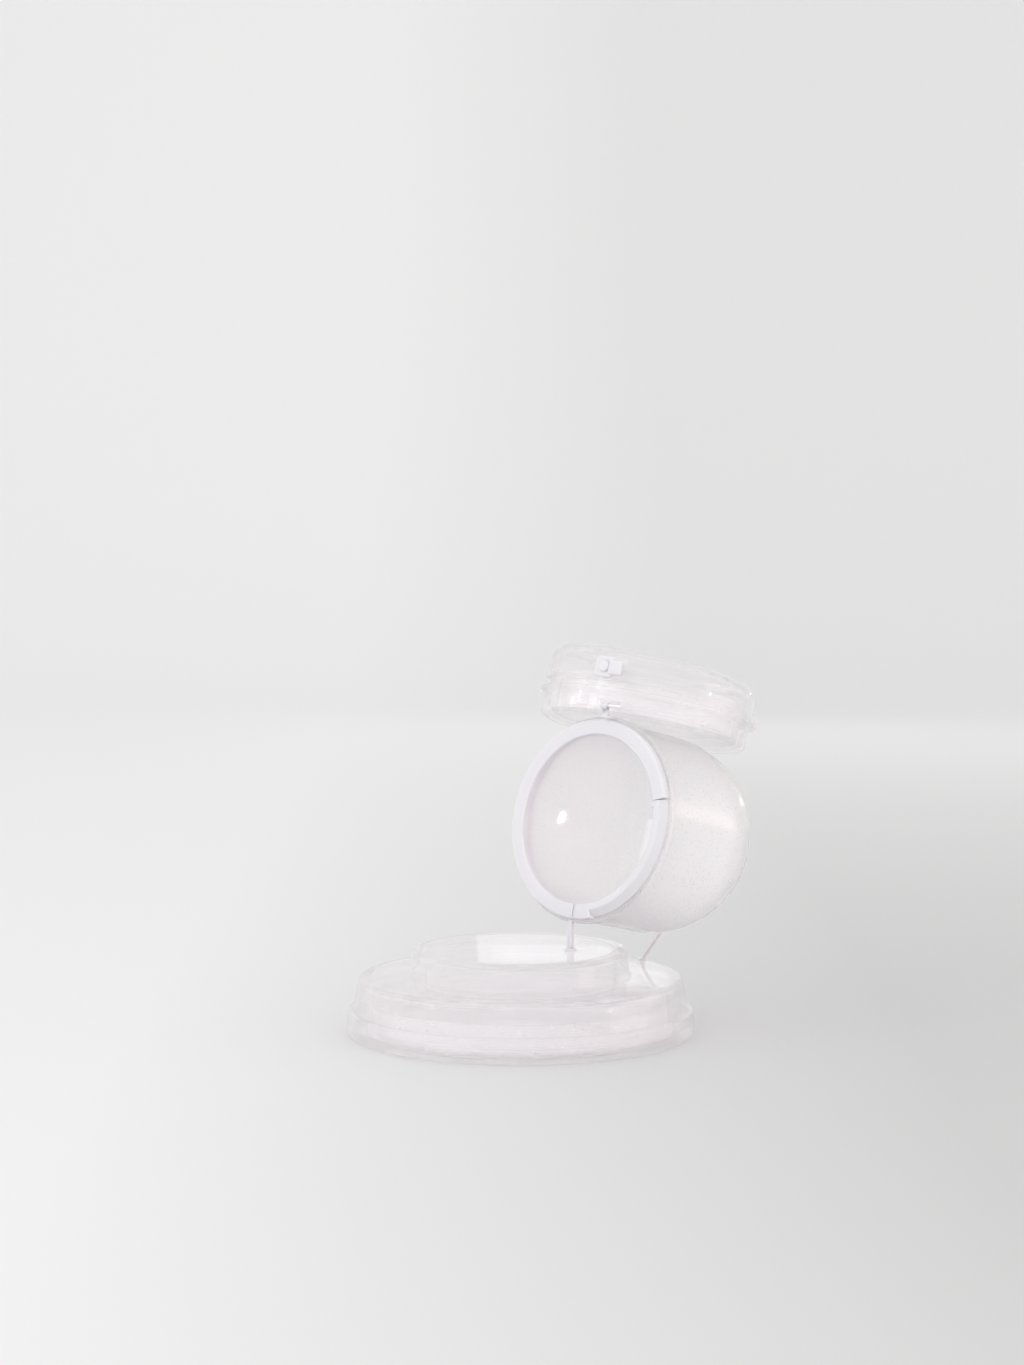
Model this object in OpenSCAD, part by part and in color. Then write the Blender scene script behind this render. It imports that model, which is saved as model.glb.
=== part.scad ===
// Coin capsule display, in millimetres.
// A large stepped snap capsule is the base. A dome-ended cup with a round window lies on a
// post and a prop above it, and a small capsule with a hinged lid rests on the cup.
// Origin: centre of the base's underside. +Z is up and the front faces -Y.

/* [Base capsule] */
// Outer radius of the lower shell
base_r = 44; // [43.8:0.1:46]
// Height of the parting line above the table
base_split_h = 6.3; // [6:0.1:7]
// Radius of the cover's wall where it meets the lower shell
base_wall_r = 42.5; // [42.3:0.1:43]
// Radius of the cover's wall at its shoulder
base_shoulder_r = 41.3; // [41:0.1:41.8]
// Height of the lower tier
tier_h = 14.7; // [14:0.1:15]
// Radius of the raised crown
crown_r = 27.2; // [26:0.1:28]
// Height of the raised crown
crown_h = 21.6; // [21:0.1:21.8]
// Wall thickness of both base shells
base_wall = 1.7; // [1.4:0.1:1.8]
// Diameter of the coin that the base's grip ring takes
base_coin_d = 76.2; // [74:0.1:76.4]

/* [Cup] */
// Place of the mouth's centre
cup_centre = [17.28, -0.7, 54.51];
// Turn of the mouth to the left of straight ahead, in degrees
cup_turn = 43.5; // [40:0.5:46]
// Rise of the mouth above level, in degrees
cup_rise = 13.7; // [13.4:0.1:14]
// Outer radius of the cup
cup_r = 25.6; // [25.5:0.1:25.8]
// Depth from the mouth's centre to the centre of the dome
cup_depth = 24.5; // [23.5:0.1:24.8]
// Wall thickness of the cup
cup_wall = 1.4; // [1.2:0.1:1.4]
// Radius of the flange round the mouth
flange_r = 26.4; // [26.2:0.1:26.5]

/* [Bezel and window] */
// Outer radius of the bezel's face
bezel_r = 25.5; // [25.2:0.1:25.5]
// Inner radius of the bezel's face
bezel_bore_r = 21.6; // [21.4:0.1:22]
// Thickness of the bezel's face
bezel_t = 2; // [1.8:0.1:2.2]
// How far the window's middle stands in front of its rim
window_bulge = 1.5; // [1:0.1:2.5]

/* [Small capsule] */
// Sideways place of the small capsule's centre on the cup
small_x = -9; // [-10:0.1:-8]
// Place of its centre behind the mouth's centre
small_back = 25.2; // [25:0.1:25.6]
// How far its top leans back from the cup's own upright, in degrees
small_lean = 2; // [1.8:0.1:2.2]
// Turn that brings the lid's hinge to the right-hand end, in degrees
small_turn = 42.7; // [40:0.1:45]
// Outer radius of the lower shell
small_r = 27.1; // [26.8:0.1:27.2]
// Radius of the flange at the parting line
small_flange_r = 28.3; // [28.2:0.1:28.5]
// Height of the parting line above the capsule's underside
small_split_h = 7.2; // [7:0.1:7.5]
// Angle at which the lid stands ajar, in degrees
lid_ajar = 3; // [2.5:0.1:5]
// Diameter of the coin that the small grip ring takes
small_coin_d = 45; // [40:0.1:46]

/* [Straps and prop] */
// Width of the white straps
strap_w = 1.6; // [1.4:0.1:1.8]
// Radius of the tip hinge's pin
tip_pin_r = 0.5; // [0.45:0.05:0.5]
// Radius of the prop's wire
prop_r = 0.4; // [0.35:0.05:0.5]

/* [Hidden] */
$fn = 96;

running_gap = 0.05;
free_gap = 0.2;

// Base: the cover's plug lip reaches down inside the lower shell's wall.
base_rim_bore_r = base_r - 2;
base_lip_r = base_rim_bore_r - free_gap;
base_lip_t = 1.6;
base_lip_drop = 3.1;
grip_ring_r = base_lip_r - base_lip_t - 0.3;
grip_ring_h = 7;

// Cup: all places in the cup's frame have +Z out of the mouth and +Y up.
mouth_z = -bezel_t / 2;
flange_t = 1.6;
cup_bore_r = cup_r - cup_wall;
bezel_collar_r = cup_bore_r - free_gap;
bezel_collar_t = 0.8;
bezel_collar_l = 3;
window_r = bezel_collar_r - bezel_collar_t - running_gap;
window_t = 1.2;
quadrant_lip_r = 23.4;

// The thin post and the prop stand on the cover.
post_w = 1.4;
post_at = [12.6, -3.5];
post_foot_t = 0.4;
prop_foot_at = [31.6, 22, tier_h];
prop_tip_at = [36.6, 12.5, 24.2];
prop_socket_t = 0.7;

// Tip hinge: its axis runs along the cup frame's X.
tip_y = 28.8;
tip_z = 2.5;
tip_eye_r = 1.05;
strap_x = 1.9;
strap_t = 0.7;
lug_x = [2.9, 6.3];
tip_pin_x = [0.4, 6.9];

// Small capsule: all places in its frame have +Z along its axis and +X to the lid's hinge.
small_gap = 0.2;
small_y = (cup_r + small_gap) / cos(small_lean) + (cup_depth - small_back) * tan(small_lean);
small_lip_r = 26;
small_lip_h = 4.2;
small_wall = 1.3;
lid_r = 27.5;
lid_bore_r = 26.5;
lid_base_h = small_split_h + 0.1;
lid_wall_top_h = 12.4;
lid_shoulder_r = 3.6;
lid_crown_r = 19.4;
lid_crown_h = 17.3;
lid_pivot = [28.1, 0, small_split_h];
lid_barrel_r = 1.1;
lid_pin_r = 0.5;
lid_pin_l = 7.6;
knuckle_w = 2.8;
ear_w = 2.2;

// Turn button on the lid's wall, on the front left.
button_dir = 242.4;
button_h = 10;
button_plate = 5.2;
button_t = 1;
button_back_r = lid_r + free_gap;
button_pin_r = 1;

module in_cup_frame() {
    translate(cup_centre)
        rotate([90 - cup_rise, 0, -cup_turn])
            children();
}

module in_small_frame() {
    in_cup_frame()
        translate([small_x, small_y, -small_back])
            rotate([-90 - small_lean, 0, 0])
                rotate([0, 0, small_turn])
                    children();
}

// The lid turns about its hinge by lid_ajar from shut.
module in_lid_frame() {
    in_small_frame()
        translate(lid_pivot)
            rotate([0, lid_ajar, 0])
                translate(-lid_pivot)
                    children();
}

// On the lid's wall: +Z points out along the radius, +Y up and +X to the right.
module in_button_frame() {
    in_lid_frame()
        rotate([0, 0, button_dir])
            translate([button_back_r, 0, button_h])
                rotate([90, 0, 90])
                    children();
}

// Points along an arc, for the rounded corners of a turned outline.
function arc(centre, r, from, to, steps) =
    [for (i = [0 : steps])
        let (a = from + (to - from) * i / steps)
        [centre[0] + r * cos(a), centre[1] + r * sin(a)]];

module turned(outline) {
    rotate_extrude()
        polygon(outline);
}

// A plain cylinder along X, from x0 to x1.
module bar_x(r, x0, x1) {
    translate([x0, 0, 0])
        rotate([0, 90, 0])
            cylinder(r = r, h = x1 - x0);
}

// A plain cylinder along Y, centred.
module bar_y(r, length) {
    rotate([90, 0, 0])
        cylinder(r = r, h = length, center = true);
}

module base_lower_shell() {
    floor_t = base_wall + 0.2;
    color("lavenderblush", 0.5)
        turned(concat(
            [[0, 0], [base_r - 0.9, 0]],
            arc([base_r - 0.9, 0.9], 0.9, -90, 0, 4),
            arc([base_r - 0.5, base_split_h - 0.5], 0.5, 0, 90, 4),
            [[base_rim_bore_r, base_split_h], [base_rim_bore_r, floor_t], [0, floor_t]]));
}

module base_cover() {
    shoulder = 1.8;
    crown_edge = 1.4;
    inner_r = base_shoulder_r - base_wall;
    lip_z = base_split_h - base_lip_drop;
    color("lavenderblush", 0.5)
        turned(concat(
            [[base_wall_r, base_split_h]],
            arc([base_shoulder_r - shoulder, tier_h - shoulder], shoulder, 0, 90, 6),
            [[crown_r + 1, tier_h]],
            arc([crown_r + 1, tier_h + 0.7], 0.7, -90, -180, 4),
            arc([crown_r - crown_edge, crown_h - crown_edge], crown_edge, 0, 90, 6),
            [[0, crown_h], [0, crown_h - base_wall]],
            [[crown_r - base_wall - 0.8, crown_h - base_wall]],
            [[crown_r - base_wall, crown_h - base_wall - 0.8]],
            [[crown_r - base_wall, tier_h - base_wall]],
            arc([inner_r - 1, tier_h - base_wall - 1], 1, 90, 0, 4),
            [[base_lip_r - base_lip_t, base_split_h], [base_lip_r - base_lip_t, lip_z]],
            [[base_lip_r - 0.3, lip_z], [base_lip_r, lip_z + 0.5]],
            [[base_lip_r, base_split_h]]));
}

// White ring that grips the coin's edge, with a low ledge for the coin to sit on.
module base_grip_ring() {
    floor_z = base_wall + 0.2;
    coin_r = base_coin_d / 2;
    groove = 0.4;
    color("white", 0.7)
        turned([
            [coin_r - 2, floor_z], [grip_ring_r, floor_z],
            [grip_ring_r, floor_z + 2.6], [grip_ring_r - groove, floor_z + 3],
            [grip_ring_r, floor_z + 3.4], [grip_ring_r, floor_z + grip_ring_h],
            [coin_r + 0.4, floor_z + grip_ring_h], [coin_r, floor_z + grip_ring_h - 0.6],
            [coin_r, floor_z + 1.2], [coin_r - 2, floor_z + 1.2]]);
}

// Flat strip that carries the cup's flange.
module front_post() {
    foot_z = crown_h + post_foot_t;
    color("white")
        difference() {
            translate([post_at[0], post_at[1], foot_z])
                rotate([0, 0, -cup_turn])
                    translate([-post_w / 2, -post_w / 2, 0])
                        cube([post_w, post_w, 29.6 - foot_z]);
            in_cup_frame()
                translate([0, 0, -10])
                    cylinder(r = flange_r, h = 10 + mouth_z);
            in_cup_frame()
                translate([0, 0, mouth_z])
                    cylinder(r = bezel_r + 0.3, h = 6);
        }
}

module post_foot() {
    color("white")
        translate([post_at[0], post_at[1], crown_h])
            cylinder(r1 = 1.7, r2 = 1.1, h = post_foot_t);
}

// Thin pale wire that leans from the lower tier to the dome.
module prop_rod() {
    run = prop_tip_at - prop_foot_at;
    reach = norm(run);
    color("thistle")
        difference() {
            translate(prop_foot_at)
                rotate([0, acos(run[2] / reach), atan2(run[1], run[0])])
                    cylinder(r = prop_r, h = reach, $fn = 32);
            translate([0, 0, -20 + tier_h])
                cylinder(r = base_r, h = 20);
            in_cup_frame()
                translate([0, 0, -cup_depth])
                    sphere(r = cup_r);
        }
}

module prop_socket() {
    run = prop_tip_at - prop_foot_at;
    color("lavenderblush", 0.5)
        difference() {
            translate(prop_foot_at)
                cylinder(r = 1.1, h = prop_socket_t, $fn = 48);
            translate(prop_foot_at)
                rotate([0, acos(run[2] / norm(run)), atan2(run[1], run[0])])
                    translate([0, 0, -2])
                        cylinder(r = prop_r, h = 6, $fn = 32);
        }
}

// Frosted cup: a straight wall, a half-round end and a flange round the mouth.
module cup_shell() {
    color("lavender", 0.8)
        in_cup_frame()
            difference() {
                union() {
                    translate([0, 0, -cup_depth])
                        cylinder(r = cup_r, h = cup_depth + mouth_z);
                    translate([0, 0, -cup_depth])
                        sphere(r = cup_r);
                    translate([0, 0, mouth_z - flange_t])
                        cylinder(r = flange_r, h = flange_t);
                }
                translate([0, 0, -cup_depth])
                    cylinder(r = cup_bore_r, h = cup_depth + 10);
                translate([0, 0, -cup_depth])
                    sphere(r = cup_bore_r);
            }
}

// Split ring that holds the window. Its lower right quarter is narrow and leaves the cup's
// flange bare, so the full-width part ends in a square face with a small lug beside it.
module bezel_ring() {
    step_from = -76;
    step_to = 17;
    color("white")
        in_cup_frame() {
            difference() {
                turned(concat(
                    [[bezel_bore_r, mouth_z], [bezel_collar_r - bezel_collar_t, mouth_z]],
                    [[bezel_collar_r - bezel_collar_t, mouth_z - bezel_collar_l]],
                    [[bezel_collar_r, mouth_z - bezel_collar_l], [bezel_collar_r, mouth_z]],
                    [[bezel_r, mouth_z]],
                    arc([bezel_r - 0.6, -mouth_z - 0.6], 0.6, 0, 90, 4),
                    arc([bezel_bore_r + 0.5, -mouth_z - 0.5], 0.5, 90, 180, 4)));
                rotate([0, 0, step_from])
                    rotate_extrude(angle = step_to - step_from)
                        translate([quadrant_lip_r, mouth_z])
                            square([4, 2 * bezel_t]);
                rotate([0, 0, step_to - 1])
                    translate([bezel_bore_r - 1, 0, mouth_z + 0.4])
                        cube([6, 0.5, bezel_t]);
            }
            rotate([0, 0, step_to - 3])
                translate([bezel_bore_r - 1.1, -0.5, mouth_z + 0.4])
                    cube([1.5, 1, 1]);
        }
}

// Strip on the bezel's face, to pull the window off by.
module pull_tab() {
    color("white")
        in_cup_frame()
            translate([-post_w / 2, -bezel_r + 0.2, -mouth_z])
                cube([post_w, bezel_r - bezel_bore_r - 0.2, 0.5]);
}

// Clear window, domed towards the front.
module cup_window() {
    span = bezel_bore_r - 0.2;
    dome_r = (span * span + window_bulge * window_bulge) / (2 * window_bulge);
    half_angle = asin(span / dome_r);
    dome_z = mouth_z + window_bulge - dome_r;
    color("white", 0.35)
        in_cup_frame()
            turned(concat(
                arc([0, dome_z], dome_r, 90, 90 - half_angle, 12),
                [[window_r, mouth_z], [window_r, mouth_z - window_t]],
                arc([0, dome_z], dome_r - window_t, 90 - half_angle, 90, 12)));
}

// White strap from the cup's flange over the bezel's edge to the tip hinge.
module hinge_strap() {
    leg_y = bezel_r + 0.25;
    color("white")
        in_cup_frame()
            difference() {
                union() {
                    translate([strap_x - strap_w / 2, leg_y, mouth_z])
                        cube([strap_w, 0.65, tip_z + strap_t / 2 - mouth_z]);
                    translate([strap_x - strap_w / 2, leg_y, tip_z - strap_t / 2])
                        cube([strap_w, tip_y - leg_y, strap_t]);
                    translate([0, tip_y, tip_z])
                        bar_x(tip_eye_r, strap_x - strap_w / 2, strap_x + strap_w / 2);
                }
                translate([0, tip_y, tip_z])
                    bar_x(tip_pin_r, -10, 10);
            }
}

module tip_hinge_pin() {
    head_t = 0.5;
    color("silver")
        in_cup_frame()
            translate([0, tip_y, tip_z]) {
                bar_x(tip_pin_r, tip_pin_x[0], tip_pin_x[1]);
                bar_x(0.9, tip_pin_x[0], tip_pin_x[0] + head_t);
            }
}

// Lug on the small capsule's wall, which turns on the pin.
module tip_hinge_lug() {
    arm_h = 1.4;
    arm_l = 7;
    color("lavenderblush", 0.5)
        difference() {
            in_cup_frame()
                difference() {
                    union() {
                        translate([0, tip_y, tip_z])
                            bar_x(tip_eye_r, lug_x[0], lug_x[1]);
                        translate([lug_x[0], tip_y - arm_h / 2, tip_z - arm_l])
                            cube([lug_x[1] - lug_x[0], arm_h, arm_l]);
                    }
                    translate([0, tip_y, tip_z])
                        bar_x(tip_pin_r + running_gap, -10, 10);
                }
            in_small_frame()
                cylinder(r = small_r, h = small_split_h, $fn = 180);
        }
}

// Clearance pocket round the lid hinge, as long as the part of the barrel it clears.
module hinge_pocket(length) {
    translate(lid_pivot)
        bar_y(lid_barrel_r + 0.25, length);
}

module small_lower_shell() {
    flange_h = 1.2;
    color("lavenderblush", 0.5)
        in_small_frame() {
            difference() {
                union() {
                    turned(concat(
                        [[0, 0], [small_r - 1, 0]],
                        arc([small_r - 1, 1], 1, -90, 0, 4),
                        [[small_r, small_split_h - flange_h - 0.6]],
                        [[small_flange_r, small_split_h - flange_h]],
                        [[small_flange_r, small_split_h - 0.3]],
                        [[small_flange_r - 0.3, small_split_h], [small_lip_r, small_split_h]],
                        [[small_lip_r, small_split_h + small_lip_h - 0.4]],
                        [[small_lip_r - 0.4, small_split_h + small_lip_h]],
                        [[small_lip_r - small_wall, small_split_h + small_lip_h]],
                        [[small_lip_r - small_wall, small_wall + 0.2], [0, small_wall + 0.2]]));
                    for (side = [-1, 1])
                        translate([lid_pivot[0], side * (knuckle_w + ear_w) / 2 + side * 0.2,
                                   lid_pivot[2]])
                            bar_y(lid_barrel_r, ear_w);
                }
                hinge_pocket(knuckle_w + 0.4);
                translate(lid_pivot)
                    bar_y(lid_pin_r, 20);
            }
        }
}

module small_grip_ring() {
    floor_z = small_wall + 0.2;
    coin_r = small_coin_d / 2;
    ring_r = small_lip_r - small_wall - 0.15;
    ring_top = small_split_h + 2.2;
    color("white", 0.7)
        in_small_frame()
            turned([
                [coin_r - 1.5, floor_z], [ring_r, floor_z], [ring_r, ring_top],
                [coin_r + 0.4, ring_top], [coin_r, ring_top - 0.5],
                [coin_r, floor_z + 1.4], [coin_r - 1.5, floor_z + 1.4]]);
}

module small_lid() {
    inner_shoulder_r = lid_shoulder_r - small_wall;
    inner_top = lid_wall_top_h + inner_shoulder_r;
    color("lavenderblush", 0.5)
        in_lid_frame()
            difference() {
                union() {
                    turned(concat(
                        [[lid_bore_r, lid_base_h], [lid_r, lid_base_h]],
                        arc([lid_r - lid_shoulder_r, lid_wall_top_h], lid_shoulder_r, 0, 90, 6),
                        [[lid_crown_r + 0.5, lid_wall_top_h + lid_shoulder_r + 0.2]],
                        arc([lid_crown_r - 0.5, lid_crown_h - 0.5], 0.5, 0, 90, 4),
                        [[0, lid_crown_h], [0, lid_crown_h - small_wall]],
                        [[lid_crown_r - small_wall, lid_crown_h - small_wall]],
                        [[lid_crown_r - small_wall, inner_top]],
                        arc([lid_bore_r - inner_shoulder_r, lid_wall_top_h],
                            inner_shoulder_r, 90, 0, 4)));
                    translate(lid_pivot)
                        bar_y(lid_barrel_r, knuckle_w);
                    translate([lid_r - 0.6, -knuckle_w / 2, lid_base_h])
                        cube([lid_pivot[0] - lid_r + 1.3, knuckle_w, 1.6]);
                    rotate([0, 0, -60])
                        translate([lid_r - 1.3, 0, lid_wall_top_h + 2.5])
                            sphere(r = 0.7, $fn = 32);
                }
                for (side = [-1, 1])
                    translate([0, side * (knuckle_w / 2 + 0.15 + ear_w), 0])
                        hinge_pocket(2 * ear_w);
                translate(lid_pivot)
                    bar_y(lid_pin_r + running_gap, 20);
                rotate([0, 0, button_dir])
                    translate([0, 0, button_h])
                        rotate([0, 90, 0])
                            cylinder(r = button_pin_r, h = 40);
            }
}

module lid_hinge_pin() {
    color("lavenderblush", 0.5)
        in_small_frame()
            translate(lid_pivot)
                bar_y(lid_pin_r, lid_pin_l);
}

// Square turn button with a grip block beside it. The block stands out far enough to pass
// in front of the flange when the button is turned down.
module turn_button() {
    corner_r = 0.9;
    side = button_plate / 2 - corner_r;
    grip = [3.5, 3.6, 1.3];
    grip_back = 0.8;
    color("white")
        in_button_frame()
            difference() {
                union() {
                    linear_extrude(button_t) {
                        square([button_plate, 2 * side], center = true);
                        square([2 * side, button_plate], center = true);
                        for (x = [-side, side])
                            for (y = [-side, side])
                                translate([x, y])
                                    circle(r = corner_r);
                    }
                    translate([button_plate / 2 + 2.6 - grip[0], -grip[1] / 2, grip_back])
                        cube(grip);
                }
                translate([0, 0, -1])
                    cylinder(r = button_pin_r + running_gap, h = 5);
            }
}

// Round-headed pin that holds the turn button to the lid's wall.
module button_pin() {
    color("white")
        in_button_frame() {
            translate([0, 0, -free_gap - 1])
                cylinder(r = button_pin_r, h = free_gap + 1 + button_t + 0.1);
            translate([0, 0, button_t + 0.1])
                cylinder(r1 = 1.6, r2 = 1.2, h = 0.5);
        }
}

base_lower_shell();
base_cover();
base_grip_ring();
front_post();
post_foot();
prop_rod();
prop_socket();
cup_shell();
bezel_ring();
pull_tab();
cup_window();
hinge_strap();
tip_hinge_pin();
tip_hinge_lug();
small_lower_shell();
small_grip_ring();
small_lid();
lid_hinge_pin();
turn_button();
button_pin();
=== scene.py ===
"""Looks for the coin capsule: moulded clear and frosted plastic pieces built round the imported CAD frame.

Sizes are in millimetres in the same frames as the CAD part, and every object is made in metres.
"""

from math import asin, atan2, cos, degrees, pi, radians, sin, tan

import bmesh
import bpy
from mathutils import Matrix, Vector


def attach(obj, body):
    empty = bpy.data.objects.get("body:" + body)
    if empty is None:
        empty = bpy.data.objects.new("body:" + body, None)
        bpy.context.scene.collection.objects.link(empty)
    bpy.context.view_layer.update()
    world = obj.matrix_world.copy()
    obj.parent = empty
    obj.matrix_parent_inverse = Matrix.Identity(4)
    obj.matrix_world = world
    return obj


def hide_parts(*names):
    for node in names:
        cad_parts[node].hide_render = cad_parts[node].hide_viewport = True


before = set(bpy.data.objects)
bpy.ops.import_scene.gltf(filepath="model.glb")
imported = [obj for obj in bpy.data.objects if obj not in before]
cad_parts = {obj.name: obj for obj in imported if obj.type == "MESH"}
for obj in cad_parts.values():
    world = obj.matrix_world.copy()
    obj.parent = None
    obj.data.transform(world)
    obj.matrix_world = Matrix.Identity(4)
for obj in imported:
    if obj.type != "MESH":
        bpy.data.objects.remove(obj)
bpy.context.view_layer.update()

MM = 0.001

# ---------------------------------------------------------------- sizes, as in the CAD part

RUNNING_GAP = 0.05
FREE_GAP = 0.2

# Base capsule: the cover's plug lip reaches down inside the lower shell's wall.
BASE_R = 44.0
SPLIT_H = 6.3
WALL_R = 42.5
SHOULDER_R = 41.3
TIER_H = 14.7
CROWN_R = 27.2
CROWN_H = 21.6
BASE_WALL = 1.7
COIN_R = 38.1
RIM_BORE_R = BASE_R - 2
LIP_R = RIM_BORE_R - FREE_GAP
LIP_T = 1.6
LIP_DROP = 3.1
LIP_Z = SPLIT_H - LIP_DROP
FLOOR_T = BASE_WALL + 0.2
GRIP_R = LIP_R - LIP_T - 0.3
GRIP_H = 7.0

# Cup, bezel and window: the cup's frame has +Z out of the mouth and +Y up.
CUP_CENTRE = (17.28, -0.7, 54.51)
CUP_TURN = 43.5
CUP_RISE = 13.7
CUP_R = 25.6
CUP_DEPTH = 24.5
CUP_WALL = 1.4
CUP_BORE_R = CUP_R - CUP_WALL
FLANGE_R = 26.4
FLANGE_T = 1.6
BEZEL_R = 25.5
BEZEL_BORE_R = 21.6
BEZEL_T = 2.0
MOUTH_Z = -BEZEL_T / 2
COLLAR_R = CUP_BORE_R - FREE_GAP
COLLAR_T = 0.8
COLLAR_L = 3.0
WINDOW_R = COLLAR_R - COLLAR_T - RUNNING_GAP
WINDOW_T = 1.2
WINDOW_BULGE = 1.5
QUADRANT_LIP_R = 23.4
# The bezel's narrow quarter, in degrees round the cup's axis
STEP_FROM = -76.0
STEP_TO = 17.0

# Post between the base's crown and the cup's flange
POST_W = 1.4
POST_AT = (12.6, -3.5)
POST_FOOT_T = 0.4
POST_TOP = 29.6

# Tip hinge: its axis runs along the cup frame's X.
TIP_Y = 28.8
TIP_Z = 2.5
TIP_EYE_R = 1.05
TIP_PIN_R = 0.5
TIP_PIN_X = (0.4, 6.9)
STRAP_X = 1.9
STRAP_W = 1.6
STRAP_T = 0.7
STRAP_LEG_Y = BEZEL_R + 0.25
STRAP_LEG_T = 0.65
LUG_X = (2.9, 6.3)
LUG_ARM_H = 1.4
LUG_ARM_L = 7.0

# Small capsule: its frame has +Z along its axis and +X to the lid's hinge.
SMALL_X = -9.0
SMALL_BACK = 25.2
SMALL_LEAN = 2.0
SMALL_TURN = 42.7
SMALL_R = 27.1
SMALL_FLANGE_R = 28.3
SMALL_SPLIT_H = 7.2
SMALL_LIP_R = 26.0
SMALL_LIP_H = 4.2
SMALL_WALL = 1.3
SMALL_FLOOR_T = SMALL_WALL + 0.2
SMALL_COIN_R = 22.5
LID_AJAR = 3.0
LID_R = 27.5
LID_BORE_R = 26.5
LID_BASE_H = SMALL_SPLIT_H + 0.1
LID_WALL_TOP_H = 12.4
LID_SHOULDER_R = 3.6
LID_CROWN_R = 19.4
LID_CROWN_H = 17.3
LID_PIVOT = (28.1, 0.0, SMALL_SPLIT_H)
LID_BARREL_R = 1.1
BARREL_ROOM = 0.25
LID_PIN_R = 0.5
KNUCKLE_W = 2.8
EAR_W = 2.2

# Turn button on the lid's wall
BUTTON_DIR = 242.4
BUTTON_H = 10.0
BUTTON_BACK_R = LID_R + FREE_GAP
BUTTON_PLATE = 5.2
BUTTON_T = 1.0
BUTTON_CORNER_R = 0.9
BUTTON_PIN_R = 1.0
GRIP_BLOCK = (3.5, 3.6, 1.3)
GRIP_REACH = 2.6
GRIP_BACK = 0.8


# ---------------------------------------------------------------- frames


def turn(axis, angle):
    """Rotation about one axis by an angle in degrees."""
    return Matrix.Rotation(radians(angle), 4, axis)


def at(x, y, z):
    """Move by millimetres, for places inside a mesh that is still in millimetres."""
    return Matrix.Translation((x, y, z))


# Each frame is in millimetres; solid() brings the mesh to metres.
SMALL_Y = (CUP_R + FREE_GAP) / cos(radians(SMALL_LEAN)) + (CUP_DEPTH - SMALL_BACK) * tan(radians(SMALL_LEAN))
UPRIGHT = Matrix.Identity(4)
CUP = at(*CUP_CENTRE) @ turn("Z", -CUP_TURN) @ turn("X", 90 - CUP_RISE)
SMALL = CUP @ at(SMALL_X, SMALL_Y, -SMALL_BACK) @ turn("X", -90 - SMALL_LEAN) @ turn("Z", SMALL_TURN)
LID = SMALL @ at(*LID_PIVOT) @ turn("Y", LID_AJAR) @ at(*[-v for v in LID_PIVOT])
BUTTON = LID @ turn("Z", BUTTON_DIR) @ at(BUTTON_BACK_R, 0, BUTTON_H) @ turn("Z", 90) @ turn("X", 90)
POST = at(*POST_AT, 0) @ turn("Z", -CUP_TURN)
ALONG_X = turn("Y", 90)
ALONG_Y = turn("X", -90)
TIP_AXIS = at(0, TIP_Y, TIP_Z) @ ALONG_X
LID_AXIS = at(*LID_PIVOT) @ ALONG_Y


# ---------------------------------------------------------------- materials


def new_material(name):
    """A new material with its node tree and its shader."""
    material = bpy.data.materials.new(name)
    material.use_nodes = True
    tree = material.node_tree
    return material, tree, tree.nodes["Principled BSDF"]


def add(tree, kind, **settings):
    """A new node with the given settings."""
    node = tree.nodes.new(kind)
    for key, value in settings.items():
        setattr(node, key, value)
    return node


def noise(tree, scale, detail=3.0, stretch=(1, 1, 1)):
    """Noise in the object's own metres. stretch squeezes it along an axis."""
    place = add(tree, "ShaderNodeTexCoord")
    mapping = add(tree, "ShaderNodeMapping")
    mapping.inputs["Scale"].default_value = stretch
    texture = add(tree, "ShaderNodeTexNoise")
    texture.inputs["Scale"].default_value = scale
    texture.inputs["Detail"].default_value = detail
    tree.links.new(place.outputs["Object"], mapping.inputs["Vector"])
    tree.links.new(mapping.outputs["Vector"], texture.inputs["Vector"])
    return texture.outputs["Fac"]


def to_range(tree, value, low, high, start=0.3, end=0.7):
    """The value brought from start..end to low..high, and held inside it."""
    node = add(tree, "ShaderNodeMapRange")
    node.inputs["From Min"].default_value = start
    node.inputs["From Max"].default_value = end
    node.inputs["To Min"].default_value = low
    node.inputs["To Max"].default_value = high
    tree.links.new(value, node.inputs["Value"])
    return node.outputs["Result"]


def mix_colours(tree, share, first, second):
    """From the first colour at a share of 0 to the second at 1."""
    node = add(tree, "ShaderNodeMix", data_type="RGBA")
    node.inputs["A"].default_value = (*first, 1)
    node.inputs["B"].default_value = (*second, 1)
    tree.links.new(share, node.inputs["Factor"])
    return node.outputs["Result"]


def bump(tree, shader, height, strength, distance):
    """Surface relief from a height value. distance is in metres."""
    node = add(tree, "ShaderNodeBump")
    node.inputs["Strength"].default_value = strength
    node.inputs["Distance"].default_value = distance
    tree.links.new(height, node.inputs["Height"])
    tree.links.new(node.outputs["Normal"], shader.inputs["Normal"])


def gloss_coat(shader, weight, rough):
    """The polished outer skin of a moulding."""
    shader.inputs["Coat Weight"].default_value = weight
    shader.inputs["Coat Roughness"].default_value = rough
    shader.inputs["Coat IOR"].default_value = 1.5


def glow_inside(shader, depth):
    """Milky plastic: light wanders this many metres inside before it comes out."""
    shader.inputs["Subsurface Weight"].default_value = 1.0
    shader.inputs["Subsurface Radius"].default_value = (1, 0.95, 0.97)
    shader.inputs["Subsurface Scale"].default_value = depth


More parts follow.
